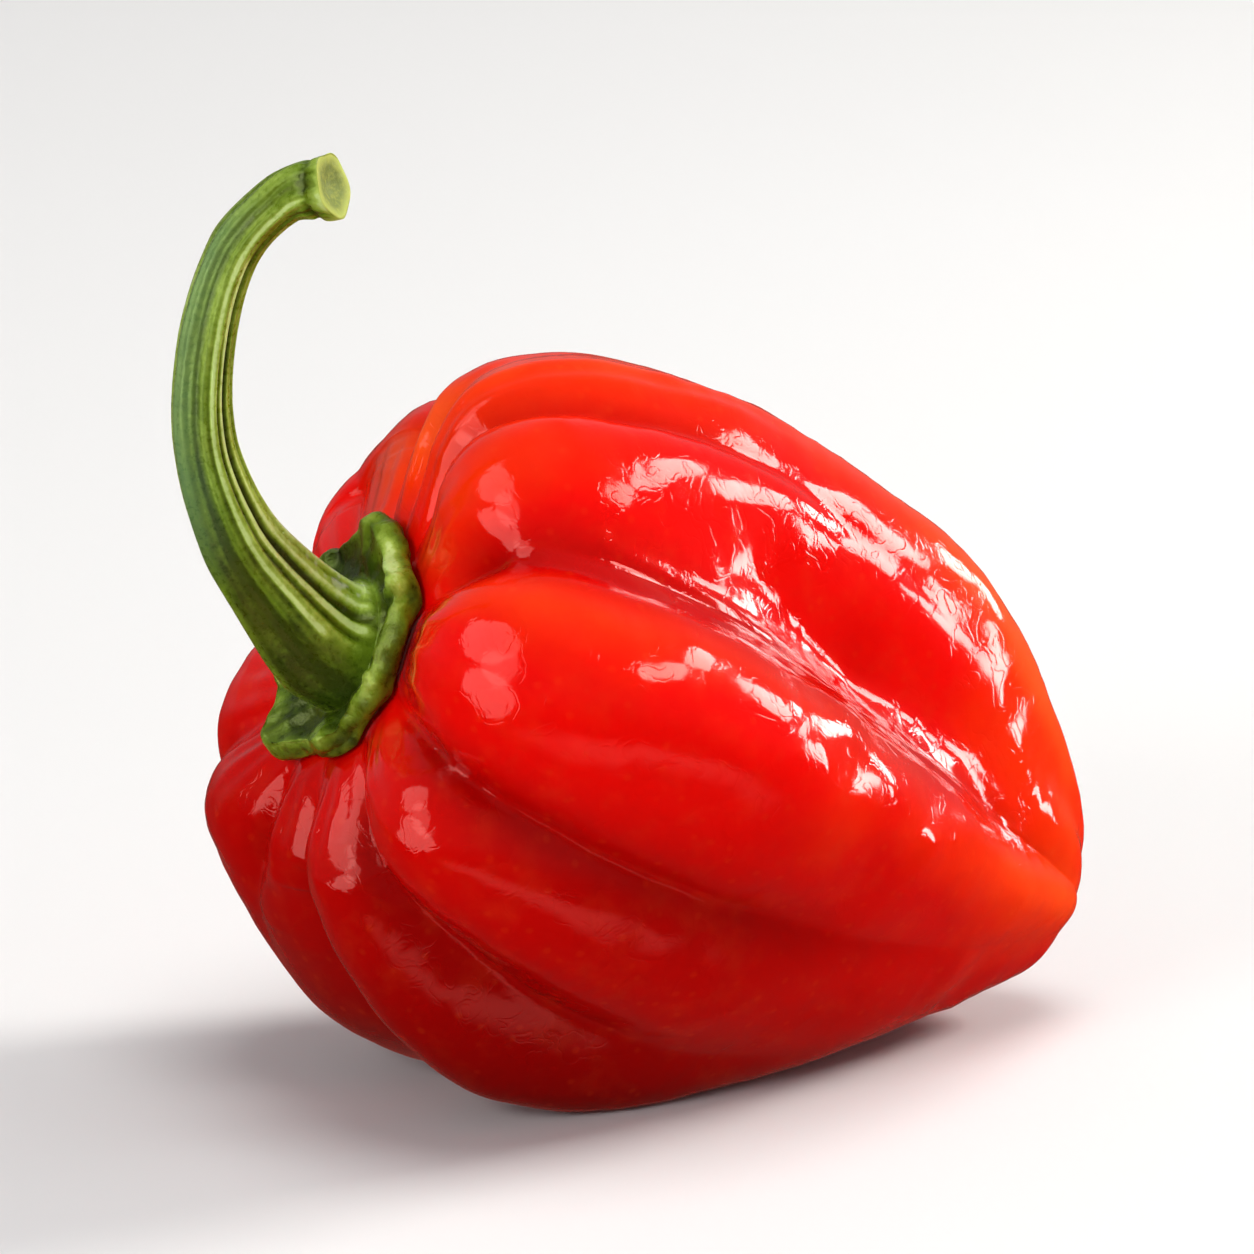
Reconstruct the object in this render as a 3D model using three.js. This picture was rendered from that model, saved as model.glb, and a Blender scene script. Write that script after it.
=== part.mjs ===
// A ripe scotch bonnet pepper, as picked, lying on its side.
//
// Two solids: the pod, grown as one piece, and the green stem with the calyx
// that it flares into. Both are surfaces around the pod's own axis. They are
// worked out upright, tip down, and then laid over together, so that the pod
// lies on two of its lobes with the stem end raised.
//
// Millimetres, +Z up, the floor at Z = 0. Angles around the pod are in degrees:
// 0 faces -Y, 90 is the top of the lying pod, -90 is what it lies on.

import * as THREE from 'three';
import { ParametricGeometry } from 'three/addons/geometries/ParametricGeometry.js';

// ---- driving dimensions ----------------------------------------------------

const SEAT_HEIGHT = 49;      // of the hollow that the calyx sits in, above the tip
const TILT = 25;             // degrees that the pod's axis leans down to the tip
// Where height 0 on the axis lies. The lowest skin is then 0.3 below the floor, and is
// pressed up to it.
const TIP = new THREE.Vector3(27.00, 1.61, 6.52);

// The pod's outline before its lobes: distance from the axis, height. The point of the
// tip lies a little below height 0.
const POD_OUTLINE = [
  [0, SEAT_HEIGHT], [5, 49.2], [9, 50.4], [13, 51.5], [16.5, 50.8],
  [19.2, 47.8], [20.8, 43], [21.2, 37], [20.3, 30], [18, 23],
  [14.8, 15.8], [10.8, 9.2], [6.9, 3.8], [3.7, -0.1], [0, -1.8],
];

// The furrows between the lobes run from the calyx down towards the tip.
const FURROWS = [
  { shoulder: 35, tip: 28, depth: 3.6, width: 8, reach: 1.00 },
  { shoulder: 73, tip: 64, depth: 2.6, width: 7, reach: 0.80 },
  { shoulder: 91, tip: 92, depth: 1.9, width: 6, reach: 0.50 },
  { shoulder: 113, tip: 112, depth: 2.8, width: 8, reach: 0.75 },
  { shoulder: 146, tip: 150, depth: 2.0, width: 8, reach: 0.45 },
  { shoulder: 178, tip: 172, depth: 3.0, width: 10, reach: 0.95 },
  { shoulder: -140, tip: -140, depth: 2.0, width: 8, reach: 0.50 },
  { shoulder: -106, tip: -112, depth: 2.8, width: 7, reach: 0.50 },
  { shoulder: -80, tip: -88, depth: 3.2, width: 8, reach: 0.66 },
  { shoulder: -46, tip: -60, depth: 4.4, width: 9, reach: 0.76 },
  { shoulder: -12, tip: -22, depth: 3.4, width: 8, reach: 0.88 },
];

// Soft swellings and dents: place along the outline, angle, their radii, height.
const SWELLINGS = [
  { along: 0.62, angle: 46, length: 0.17, spread: 14, height: -4.2 },   // dent of the upper face
  { along: 0.74, angle: 82, length: 0.17, spread: 14, height: 2.7 },    // ridge above that dent
  { along: 0.82, angle: 48, length: 0.10, spread: 14, height: 0.8 },    // and its lower end
  { along: 0.30, angle: 175, length: 0.25, spread: 55, height: -3.6 },  // flatter back
  { along: 0.30, angle: 104, length: 0.16, spread: 22, height: -0.8 },  // low shoulder at the top
  { along: 0.24, angle: 132, length: 0.14, spread: 22, height: -1.8 },  // and behind it
  { along: 0.32, angle: -88, length: 0.15, spread: 32, height: -3.4 },  // low shoulder underneath
  { along: 0.50, angle: 12, length: 0.25, spread: 16, height: 1.2 },    // full front lobe
  { along: 0.84, angle: -30, length: 0.16, spread: 30, height: -1.0 },  // lean side of the tip
  { along: 0.54, angle: -68, length: 0.15, spread: 12, height: 2.3 },   // front lobe that it lies on
  { along: 0.52, angle: -106, length: 0.15, spread: 14, height: 1.3 },  // back lobe that it lies on
  { along: 0.74, angle: -92, length: 0.12, spread: 26, height: -0.9 },  // flatter belly
];

const SHOULDER_SWELL = 0.9;           // how far all lobes stand out at the shoulder
const SHOULDER_END = [0.50, 1.00];    // where along the outline they stop doing so
const SWELLING_START = [0.03, 0.20];  // where swellings come in after the seat
const SWELLING_END = [0.90, 1.00];    // and where they die away at the tip
const FURROW_START = [0.06, 0.24];    // where the furrows deepen
const FURROW_TURN = [0.20, 0.95];     // where they swing from shoulder to tip angle
const FURROW_FADE = 0.35;             // length over which a furrow runs out
const FURROW_OPEN = [0.30, 0.90];     // where a furrow grows wider
const FURROW_GROWTH = 1.2;            // and by how much of its width
const FURROW_ROUND = 0.22;            // rounding of its bottom, as a share of its width

// The calyx, a thick ruffled collar with a tooth over most of the furrows.
const GAP = 0.3;                      // between the calyx and the pod
const CALYX_RADIUS = 6.3;
const CALYX_TEETH = [
  { angle: 42, spread: 13, length: 0.9 },
  { angle: 95, spread: 20, length: 1.2 },
  { angle: 146, spread: 18, length: 0.7 },
  { angle: -158, spread: 18, length: 1.0 },
  { angle: -107, spread: 17, length: 1.5 },
  { angle: -58, spread: 15, length: 0.7 },
  { angle: -8, spread: 14, length: 0.2 },
];
const RIM_THICKNESS = 1.5;
const RIM_LIFT = 0.25;                // share by which each mm of tooth makes the rim thicker
const RIM_BULGE = 0.4;                // how far the rim's edge stands out at mid height
const RIM_TAPER = 0.45;               // how far its top corner lies inside its lower one
const TROUGH_RADIUS = 4.9;            // the low ring between the rim and the stem
const TROUGH_THICKNESS = 0.9;

// The stem's centreline from the calyx seat, in the upright pod's frame.
const STEM_PATH = [
  [0, 0, 0], [0, 0, 2.8], [1.7, 0, 6.8], [3.9, 0, 10.6], [8.1, 0, 14.5],
  [13.6, -0.2, 16.9], [18.8, -1.1, 17.9], [22.8, -3.2, 17.3], [24.6, -5.6, 15.8],
];
// Its radius at the same nine places.
const STEM_RADII = [4.3, 3.55, 2.75, 2.25, 1.76, 1.58, 1.45, 1.45, 1.9];
const STEM_START = 0.06;              // where along the path the stem leaves the calyx
const STEM_RIDGES = 5;
const RIDGE_HEIGHT = 0.09;            // as a share of the radius
const RIDGE_START = [0, 0.08];        // where along the stem the ridges rise
const RIDGE_END = [0.85, 1];          // and where they fall to half their height
const CUT_DISH = 0.35;                // how far the cut end is dished

const SEAT_END = 0.25;                // the hollow under the calyx ends before this
const SEAT_HALVINGS = 20;             // steps that find a place in it
const POD_FACETS = { around: 96, along: 46 };
// The mesh corners, as row and column, that the pod lies on: a small flat spot of three
// and three single ones. Around them the pressed skin rises by a share of the distance.
const LOW_CORNERS = [[28, 19], [28, 20], [29, 19], [32, 20], [32, 27], [27, 27]];
const LOW_SLOPE = 0.1;
const LOW_RISE = 0.3;                 // and no higher than this
const STEM_FACETS = 30;
const STEM_ROWS = { under: 4, edge: 4, top: 5, stem: 40, cut: 2 };

// ---- helpers ---------------------------------------------------------------

const radians = THREE.MathUtils.degToRad;
const smooth = THREE.MathUtils.smoothstep;

const outlineCurve = new THREE.SplineCurve(POD_OUTLINE.map(([rho, h]) => new THREE.Vector2(rho, h)));
const stemCurve = new THREE.CatmullRomCurve3(
  STEM_PATH.map(([x, y, z]) => new THREE.Vector3(x, y, z + SEAT_HEIGHT + GAP)), false, 'catmullrom', 0.5);
const radiusCurve = new THREE.SplineCurve(STEM_RADII.map((radius, i) => new THREE.Vector2(i, radius)));

// The shortest way from one angle to another, in degrees.
function turn(angle, centre) {
  return THREE.MathUtils.euclideanModulo(angle - centre + 180, 360) - 180;
}

function bell(x) {
  return Math.exp(-x * x);
}

// The outward normal of the outline.
function outlineNormal(along) {
  const step = 1e-3;
  const before = outlineCurve.getPoint(Math.max(along - step, 0));
  const after = outlineCurve.getPoint(Math.min(along + step, 1));
  const slope = after.sub(before);
  return new THREE.Vector2(-slope.y, slope.x).normalize();
}

// ---- the pod ---------------------------------------------------------------

// How deep one furrow is at a place on the pod.
function furrowDepth(furrow, along, angle) {
  const swing = smooth(along, ...FURROW_TURN);
  const centre = furrow.shoulder + (furrow.tip - furrow.shoulder) * swing;
  const width = furrow.width * (1 + FURROW_GROWTH * smooth(along, ...FURROW_OPEN));
  const round = FURROW_ROUND * width;
  const across = Math.hypot(turn(angle, centre), round) - round;
  const ends = smooth(along, ...FURROW_START) * (1 - smooth(along, furrow.reach - FURROW_FADE, furrow.reach));
  return furrow.depth * ends * Math.exp(-across / width);
}

function swellingHeight(swelling, along, angle) {
  const lengthwise = bell((along - swelling.along) / swelling.length);
  const crosswise = bell(turn(angle, swelling.angle) / swelling.spread);
  const ends = smooth(along, ...SWELLING_START) * (1 - smooth(along, ...SWELLING_END));
  return swelling.height * lengthwise * crosswise * ends;
}

// How far the skin stands out from the plain outline.
function podRelief(along, angle) {
  let relief = SHOULDER_SWELL * smooth(along, ...FURROW_START) * (1 - smooth(along, ...SHOULDER_END));
  for (const furrow of FURROWS) relief -= furrowDepth(furrow, along, angle);
  for (const swelling of SWELLINGS) relief += swellingHeight(swelling, along, angle);
  return relief;
}

// A point of the upright pod. along goes from 0 at the seat to 1 at the tip.
function podPoint(along, angle) {
  const outline = outlineCurve.getPoint(along);
  outline.addScaledVector(outlineNormal(along), podRelief(along, angle));
  return aroundAxis(outline.x, angle, outline.y);
}

// A point at a distance from the pod's axis, an angle around it and a height.
function aroundAxis(rho, angle, height) {
  const a = radians(angle);
  return new THREE.Vector3(rho * Math.sin(a), -rho * Math.cos(a), height);
}

// The skin's height at a distance from the axis, in the hollow under the calyx.
function seatHeight(rho, angle) {
  let low = 0;
  let high = SEAT_END;
  for (let i = 0; i < SEAT_HALVINGS; i++) {
    const middle = (low + high) / 2;
    const point = podPoint(middle, angle);
    if (Math.hypot(point.x, point.y) < rho) low = middle;
    else high = middle;
  }
  return podPoint(low, angle).z;
}

// ---- the stem and its calyx --------------------------------------------------

function rimRadius(angle) {
  let radius = CALYX_RADIUS;
  for (const tooth of CALYX_TEETH) radius += tooth.length * bell(turn(angle, tooth.angle) / tooth.spread);
  return radius;
}

// The flat underside, which follows the pod from the axis out to the rim.
function calyxUnder(t, angle) {
  const rho = t * rimRadius(angle);
  return aroundAxis(rho, angle, seatHeight(rho, angle) + GAP);
}

// The rim's rounded edge, from its lower corner over to its upper one.
function calyxEdge(t, angle) {
  const rim = rimRadius(angle);
  const thickness = RIM_THICKNESS * t * (1 + RIM_LIFT * (rim - CALYX_RADIUS));
  const bulge = RIM_BULGE * Math.sin(Math.PI * t) - RIM_TAPER * t;
  return aroundAxis(rim + bulge, angle, seatHeight(rim, angle) + GAP + thickness);
}

// The top, down into the trough and up to the foot of the stem.
function calyxTop(t, angle) {
  const outer = calyxEdge(1, angle);
  const foot = stemSkin(0, angle);
  const trough = aroundAxis(TROUGH_RADIUS, angle, seatHeight(TROUGH_RADIUS, angle) + GAP + TROUGH_THICKNESS);
  return new THREE.QuadraticBezierCurve3(outer, trough, foot).getPoint(t);
}

// A point of the ridged stem, t from 0 at its foot to 1 at the cut.
function stemSkin(t, angle) {
  const along = STEM_START + (1 - STEM_START) * t;
  const ridges = 1 + stemRidge(angle) * smooth(t, ...RIDGE_START) * (1 - smooth(t, ...RIDGE_END) / 2);
  return stemRing(along, angle, radiusCurve.getPoint(along).y * ridges, 0);
}

function stemRidge(angle) {
  return RIDGE_HEIGHT * Math.cos(radians(STEM_RIDGES * angle));
}

// The cut end, dished towards its middle.
function stemCut(t, angle) {
  const ridges = 1 + stemRidge(angle) / 2 * (1 - t);
  const radius = STEM_RADII[STEM_RADII.length - 1] * ridges * (1 - t);
  return stemRing(1, angle, radius, -CUT_DISH * smooth(t, 0, 1));
}

// A ring around the stem's centreline, moved along it by offset.
function stemRing(along, angle, radius, offset) {
  const a = radians(angle);
  const tangent = stemCurve.getTangent(along);
  const side = new THREE.Vector3(0, 1, 0).addScaledVector(tangent, -tangent.y).normalize();
  const up = new THREE.Vector3().crossVectors(side, tangent);
  return stemCurve.getPoint(along)
    .addScaledVector(up, radius * Math.sin(a))
    .addScaledVector(side, -radius * Math.cos(a))
    .addScaledVector(tangent, offset);
}

// The whole surface from the middle of the underside to the middle of the cut.
function stemPoint(row, angle) {
  const parts = [
    [STEM_ROWS.under, calyxUnder], [STEM_ROWS.edge, calyxEdge], [STEM_ROWS.top, calyxTop],
    [STEM_ROWS.stem, stemSkin], [STEM_ROWS.cut, stemCut],
  ];
  let left = row;
  for (const [rows, surface] of parts) {
    if (left <= rows) return surface(left / rows, angle);
    left -= rows;
  }
  return stemCut(1, angle);
}

// ---- placing -----------------------------------------------------------------

// Lays the upright pepper over: its axis leans down to +X and its tip goes to TIP.
function layDown(geometry) {
  const lean = radians(TILT);
  const up = new THREE.Vector3(Math.sin(lean), 0, Math.cos(lean));
  const side = new THREE.Vector3(0, 1, 0);
  const axis = new THREE.Vector3(-Math.cos(lean), 0, Math.sin(lean));
  geometry.applyMatrix4(new THREE.Matrix4().makeBasis(up, side, axis).setPosition(TIP));
}

// Presses up what would reach below the floor, so that only the low corners touch it.
function pressUp(geometry) {
  const places = geometry.attributes.position;
  const corners = LOW_CORNERS.map(([row, column]) => row * (POD_FACETS.around + 1) + column);
  const low = corners.map((i) => [places.getX(i), places.getY(i)]);
  for (let i = 0; i < places.count; i++) {
    const away = Math.min(...low.map(([x, y]) => Math.hypot(places.getX(i) - x, places.getY(i) - y)));
    places.setZ(i, Math.max(places.getZ(i), Math.min(LOW_SLOPE * away, LOW_RISE)));
  }
}

function buildPod() {
  const surface = (u, v, target) => target.copy(podPoint(v, -360 * u));
  const geometry = new ParametricGeometry(surface, POD_FACETS.around, POD_FACETS.along);
  layDown(geometry);
  pressUp(geometry);
  return geometry;
}

function buildStem() {
  const rows = Object.values(STEM_ROWS).reduce((sum, count) => sum + count, 0);
  const surface = (u, v, target) => target.copy(stemPoint(v * rows, 360 * u));
  const geometry = new ParametricGeometry(surface, STEM_FACETS, rows);
  layDown(geometry);
  return geometry;
}

// ---- the pepper ----------------------------------------------------------------

const podSkin = new THREE.MeshStandardMaterial({ color: 0xe0180a, roughness: 0.22, metalness: 0 });
const stemGreen = new THREE.MeshStandardMaterial({ color: 0x5f7d26, roughness: 0.5, metalness: 0 });

function addPiece(group, name, geometry, material) {
  const mesh = new THREE.Mesh(geometry, material);
  mesh.name = name;
  group.add(mesh);
}

const pepper = new THREE.Group();
addPiece(pepper, 'pod', buildPod(), podSkin);
addPiece(pepper, 'calyx_stem', buildStem(), stemGreen);

export default pepper;
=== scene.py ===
"""A ripe scotch bonnet pepper: fine skin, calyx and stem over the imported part.

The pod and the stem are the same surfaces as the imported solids, worked out with many more
faces and with the small relief that the solids leave out. Shapes are worked out upright in
millimetres, with the pod's axis on Z and its tip at the origin, then laid over and turned
into metres. Angles around the pod are in degrees: 0 faces -Y, 90 is the lying pod's top.
"""

import bpy
import numpy as np
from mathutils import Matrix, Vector


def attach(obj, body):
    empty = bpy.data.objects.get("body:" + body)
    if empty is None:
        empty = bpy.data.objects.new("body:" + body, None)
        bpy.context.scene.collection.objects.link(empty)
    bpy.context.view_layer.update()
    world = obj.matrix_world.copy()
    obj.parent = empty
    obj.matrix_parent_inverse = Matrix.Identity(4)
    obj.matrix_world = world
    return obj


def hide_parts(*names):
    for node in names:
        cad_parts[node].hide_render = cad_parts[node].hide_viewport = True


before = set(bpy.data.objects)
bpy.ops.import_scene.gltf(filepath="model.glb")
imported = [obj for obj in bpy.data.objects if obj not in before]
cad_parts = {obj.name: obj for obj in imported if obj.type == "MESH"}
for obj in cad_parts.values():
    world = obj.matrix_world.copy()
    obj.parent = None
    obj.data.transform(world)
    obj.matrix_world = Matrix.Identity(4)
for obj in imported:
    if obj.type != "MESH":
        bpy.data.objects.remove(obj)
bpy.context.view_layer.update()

MM = 0.001

# ---- the pod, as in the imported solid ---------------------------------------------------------

SEAT_HEIGHT = 49.0                       # of the hollow that the calyx sits in, above the tip
TILT = 25.0                              # how far the lying pod's tip points down, in degrees
TIP = np.array([27.00, 1.61, 6.52])      # where the tip comes to lie

# The pod's radius and height above its tip, from the seat to the tip
POD_OUTLINE = np.array([
    [0, SEAT_HEIGHT], [5, 49.2], [9, 50.4], [13, 51.5], [16.5, 50.8],
    [19.2, 47.8], [20.8, 43], [21.2, 37], [20.3, 30], [18, 23],
    [14.8, 15.8], [10.8, 9.2], [6.9, 3.8], [3.7, -0.1], [0, -1.8],
])

# shoulder angle, tip angle, depth, width, reach
FURROWS = [
    (35, 28, 3.6, 8, 1.00),
    (73, 64, 2.6, 7, 0.80),
    (91, 92, 1.9, 6, 0.50),
    (113, 112, 2.8, 8, 0.75),
    (146, 150, 2.0, 8, 0.45),
    (178, 172, 3.0, 10, 0.95),
    (-140, -140, 2.0, 8, 0.50),
    (-106, -112, 2.8, 7, 0.50),
    (-80, -88, 3.2, 8, 0.66),
    (-46, -60, 4.4, 9, 0.76),
    (-12, -22, 3.4, 8, 0.88),
]

# place along the outline, angle, radius along it, radius around it in degrees, height
SWELLINGS = [
    (0.62, 46, 0.17, 14, -4.2),
    (0.74, 82, 0.17, 14, 2.7),
    (0.82, 48, 0.10, 14, 0.8),
    (0.30, 175, 0.25, 55, -3.6),
    (0.30, 104, 0.16, 22, -0.8),
    (0.24, 132, 0.14, 22, -1.8),
    (0.32, -88, 0.15, 32, -3.4),
    (0.50, 12, 0.25, 16, 1.2),
    (0.84, -30, 0.16, 30, -1.0),
    (0.54, -68, 0.15, 12, 2.3),
    (0.52, -106, 0.15, 14, 1.3),
    (0.74, -92, 0.12, 26, -0.9),
]

# Stretches along the outline, as where they begin and where they end
SHOULDER_END = (0.50, 1.00)
SWELLINGS_WINDOW = (0.03, 0.20, 0.90, 1.00)
FURROW_START = (0.06, 0.24)
FURROW_TURN = (0.20, 0.95)               # where a furrow turns from its first angle to its last
FURROW_OPEN = (0.30, 0.90)               # where it widens
FURROW_FADE = 0.35                       # length over which it ends
FURROW_GROWTH = 1.2                      # how much wider it gets, as a share of its width
FURROW_ROUND = 0.22                      # how round its bottom is, as a share of its width
SHOULDER_SWELL = 0.9
SEAT_END = 0.25                          # the hollow under the calyx ends before this
SEAT_HALVINGS = 20                       # steps that find a radius in it

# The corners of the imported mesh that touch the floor, by row and column, and the mesh's size
LOW_CORNERS = np.array([[28, 19], [28, 20], [29, 19], [32, 20], [32, 27], [27, 27]])
PACKED_ROWS, PACKED_COLUMNS = 46, 96
LOW_SLOPE = 0.1                          # how fast the pressed skin rises away from them
LOW_RISE = 0.3                           # and how far at most

# ---- the calyx and stem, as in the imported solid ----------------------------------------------

GAP = 0.3                                # between the pod's skin and the calyx
CALYX_RADIUS = 6.3
# angle, spread in degrees, length
CALYX_TEETH = [
    (42, 13, 0.9), (95, 20, 1.2), (146, 18, 0.7), (-158, 18, 1.0),
    (-107, 17, 1.5), (-58, 15, 0.7), (-8, 14, 0.2),
]
RIM_THICKNESS = 1.5
RIM_LIFT = 0.25                          # how much thicker, as a share, per millimetre of a tooth
RIM_BULGE = 0.4
RIM_TAPER = 0.45                         # how far its top corner lies inside its lower one
TROUGH_RADIUS = 4.9                      # the low ring between the rim and the stem
TROUGH_THICKNESS = 0.9

STEM_PATH = np.array([
    [0, 0, 0], [0, 0, 2.8], [1.7, 0, 6.8], [3.9, 0, 10.6], [8.1, 0, 14.5],
    [13.6, -0.2, 16.9], [18.8, -1.1, 17.9], [22.8, -3.2, 17.3], [24.6, -5.6, 15.8],
])
STEM_RADII = np.array([4.3, 3.55, 2.75, 2.25, 1.76, 1.58, 1.45, 1.45, 1.9])
STEM_START = 0.06                        # where the stem leaves the calyx, along its path
STEM_RIDGES = 5
RIDGE_HEIGHT = 0.09                      # as a share of the stem's radius
RIDGE_START = (0, 0.08)
RIDGE_END = (0.85, 1)
CUT_DISH = 0.35                          # how deep the cut end is dished

# ---- how fine the meshes are -----------------------------------------------------------------

POD_COLUMNS, POD_ROWS = 360, 268
STEM_COLUMNS = 180
STEM_ROWS = (10, 18, 40, 280, 12)        # under the calyx, its edge, its top, the stem, the cut

# ---- small relief of the skin, millimetres ---------------------------------------------------

RELIEF_WINDOW = (0.09, 0.17, 0.95, 1.0)
# cell size, height, seed
LUMPS = [
    (9.0, 0.20, 11),
    (4.4, 0.26, 12),
    (2.3, 0.055, 13),
]
# Two more swellings, in the same order as the others
SKIN_SWELLINGS = [
    (0.55, 67, 0.11, 7, 0.55),
    (0.56, 24, 0.14, 6, 0.50),
]
# Crinkles lie across the pod: cell across it, how much shorter along it, height, seed.
CRINKLES = [
    (3.2, 2.2, 0.052, 21),
    (1.6, 2.0, 0.013, 22),
]
CRINKLE_BEND = (3.6, 1.6, 23)            # cell size, distance, seed
CRINKLE_PATCHES = (6.0, 24)              # cell size, seed
CRINKLE_EDGES = (-0.4, 0.4)              # noise values outside and inside the patches
CRINKLE_LEAST = 0.45                     # share of the crinkles that is left outside them
PLEAT_COUNT = 48
PLEAT_HEIGHT = 0.06
PLEAT_PLACE, PLEAT_LENGTH = 0.17, 0.07
PLEAT_BEND = (2.5, 5.0, 15)              # radians, cell size, seed
CREASE_DEPTH = 0.05                      # of the line along a furrow's bottom, as a share of its depth
CREASE_WIDTH = 1.6
CREASE_START = (0.08, 0.20)
CREASE_FADE = 0.3
# start, full, fading, end, degrees from the first furrow's bottom, width in degrees, height
CORDS = [
    (0.24, 0.38, 0.62, 0.78, -4.2, 2.3, 0.45),
    (0.22, 0.34, 0.66, 0.84, 0.0, 2.4, 1.10),
    (0.34, 0.46, 0.60, 0.74, 4.6, 1.8, 0.30),
]
# Little bumps: place along the outline, angle, radius in millimetres, height.
BUMPS = [
    (0.693, 7.5, 1.3, 0.28),
    (0.549, 51, 0.7, 0.12),
    (0.643, 15, 0.6, 0.10),
    (0.397, 40, 0.6, 0.10),
    (0.470, 30, 0.6, 0.10),
    (0.360, 62, 0.7, 0.12),
    (0.760, 60, 0.7, 0.12),
    (0.820, 30, 0.7, 0.12),
    (0.300, -8, 0.6, 0.10),
    (0.480, -30, 0.7, 0.12),
]
# start, full, fading, end, angle, width in degrees, height
WRINKLES = [
    (0.10, 0.20, 0.40, 0.60, 78.5, 1.6, 0.22),
    (0.12, 0.24, 0.46, 0.66, 83.5, 1.5, 0.18),
    (0.14, 0.22, 0.30, 0.44, 68.0, 1.4, 0.12),
    (0.10, 0.18, 0.26, 0.38, 98.0, 1.8, 0.16),
    (0.12, 0.20, 0.26, 0.36, -30.0, 1.8, 0.14),
    (0.10, 0.18, 0.24, 0.34, -62.0, 2.2, 0.18),
    (0.10, 0.18, 0.24, 0.34, -94.0, 2.2, 0.16),
]
SCAR_DEPTH, SCAR_LENGTH = 0.35, 0.018    # the dent at the very tip

# Painted glow, where lit crests and edges are painted more orange: place along the outline, angle, two
# radii, amount.
PAINTED_GLOW_PLACES = [
    (0.60, 88, 0.25, 12, 0.75),
    (0.30, 84, 0.16, 16, 0.60),
    (0.22, 126, 0.12, 18, 0.90),
    (0.23, 99, 0.10, 12, 0.90),
    (0.76, 77, 0.11, 9, 0.85),
    (0.84, 60, 0.08, 14, 0.45),
    (0.26, 56, 0.14, 12, 0.45),
    (0.34, 24, 0.16, 7, 0.60),
    (0.56, 24, 0.14, 6, 0.35),
    (0.90, 20, 0.12, 60, 0.95),
    (0.72, 10, 0.16, 14, 0.45),
]

# ---- small relief of the stem, millimetres ---------------------------------------------------

# A place on the green surface: 0 to 1 lies under the calyx, 1 to 2 on its edge, 2 to 3 on its
# top, 3 to 4 along the stem and 4 to 5 on the cut.
STEM_FOOT = 3
CALYX_WINDOW = (1.0, 1.35, 2.75, 3.0)
VEIN_WINDOW = (1.3, 1.8, 2.4, 2.8)
STEM_WINDOW = (2.95, 3.08, 3.97, 4.0)

FIBRES, FIBRE_HEIGHT = 17, 0.035
FIBRE_BEND = (1.2, 3.0, 34)              # radians, cell size, seed
# angle, width in degrees, depth, where it starts and ends along the stem
GROOVES = [
    (36, 4.5, 0.22, 0.00, 0.80),
    (13, 3.2, 0.12, 0.02, 0.72),
    (-36, 5.0, 0.07, 0.00, 0.90),
    (108, 5.0, 0.16, 0.00, 0.90),
    (-108, 5.0, 0.16, 0.00, 0.90),
    (180, 5.0, 0.16, 0.00, 0.90),
    (62, 3.0, 0.08, 0.05, 0.70),
    (-8, 3.0, 0.07, 0.10, 0.75),
]
GROOVE_ENDS = (0.05, 0.25)               # lengths over which a groove begins and ends
COLLAR_PLACE, COLLAR_LENGTH, COLLAR_DEPTH = 0.945, 0.012, 0.16
# cell size, height, seed
STEM_LUMPS = [(2.2, 0.05, 31)]
CALYX_LUMPS = [(2.2, 0.36, 32), (0.85, 0.15, 33)]
VEIN_HEIGHT, VEIN_WIDTH = 0.22, 5.0
FOOT_FOLDS, FOOT_FOLD_HEIGHT = 26, 0.05
FOOT_FOLD_BEND = (1.5, 2.0, 35)

# ---- how light the green is, from 0 to 1, painted light and shade included -------------------

STEM_TONE = 0.46
# painted light on the stem's ridges and painted shade between them
RIDGE_LIGHT_AND_SHADE = 0.17
# Uneven green: cell size, amount, seed
STEM_CLOUDS = [(0.8, 0.10, 36)]
DRAWN_CLOUDS = [(0.30, 0.16, 37), (0.9, 0.10, 38)]
DRAWN_RADIUS, DRAWN_LENGTH = 2.0, 4      # of the tube on which they are drawn out lengthwise
# Painted shade on the foot's lower side and painted light on its upper: angle, width in degrees, tone,
# window along the stem. The first has no start.
PAINTED_FOOT_LIGHT_AND_SHADE = [
    (-50, 60, -0.42, -1, 0, 0.20, 0.60),
    (78, 22, 0.30, 0.0, 0.04, 0.30, 0.60),
]
# Painted shade in a groove and painted highlight beside it: how many of its widths away, tone, for the
# deepest groove
GROOVE_SHADE_AND_HIGHLIGHT = [(0, -0.55), (2.4, 0.42), (-2.2, 0.50)]
# Pale lines of painted highlight: angle, width in degrees, tone, where they start and end along the
# stem
HIGHLIGHT_STREAKS = [
    (23, 4.2, 0.75, 0.00, 0.80),
    (50, 3.0, 0.35, 0.00, 0.55),
    (-2, 3.6, 0.80, 0.10, 0.97),
    (-22, 3.0, 0.20, 0.15, 0.90),
]
STREAK_ENDS = (0.04, 0.10)
# painted shade in the pinched collar and a painted highlight on the flared end
COLLAR_SHADE = -0.35
CUT_EDGE, CUT_EDGE_HIGHLIGHT = (0.960, 1.0), 0.35

CALYX_TONE = 0.20
CALYX_CLOUDS = [(1.6, 0.28, 39), (0.6, 0.22, 40)]
CALYX_RINGS = [(1.90, 0.18, 0.24), (2.62, 0.22, -0.30)]     # place, width, tone: lighter along the rim's top, and painted shade in the trough by the stem
CALYX_LIGHTS = [(1.80, 58, 0.20, 26, 0.55)]      # place, angle, width, width in degrees, tone
VEIN_TONE = 0.8                          # for each millimetre of a vein's height
STEM_SHARE = (2.75, 3.12)                # where the calyx's tone passes into the stem's

SHEEN_ANGLE, SHEEN_WIDTH = -75, 38       # painted reflection: a bluish sheen of the sky on the outer side of the bend
SHEEN_WINDOW = (0.25, 0.45, 0.70, 0.90)
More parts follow.
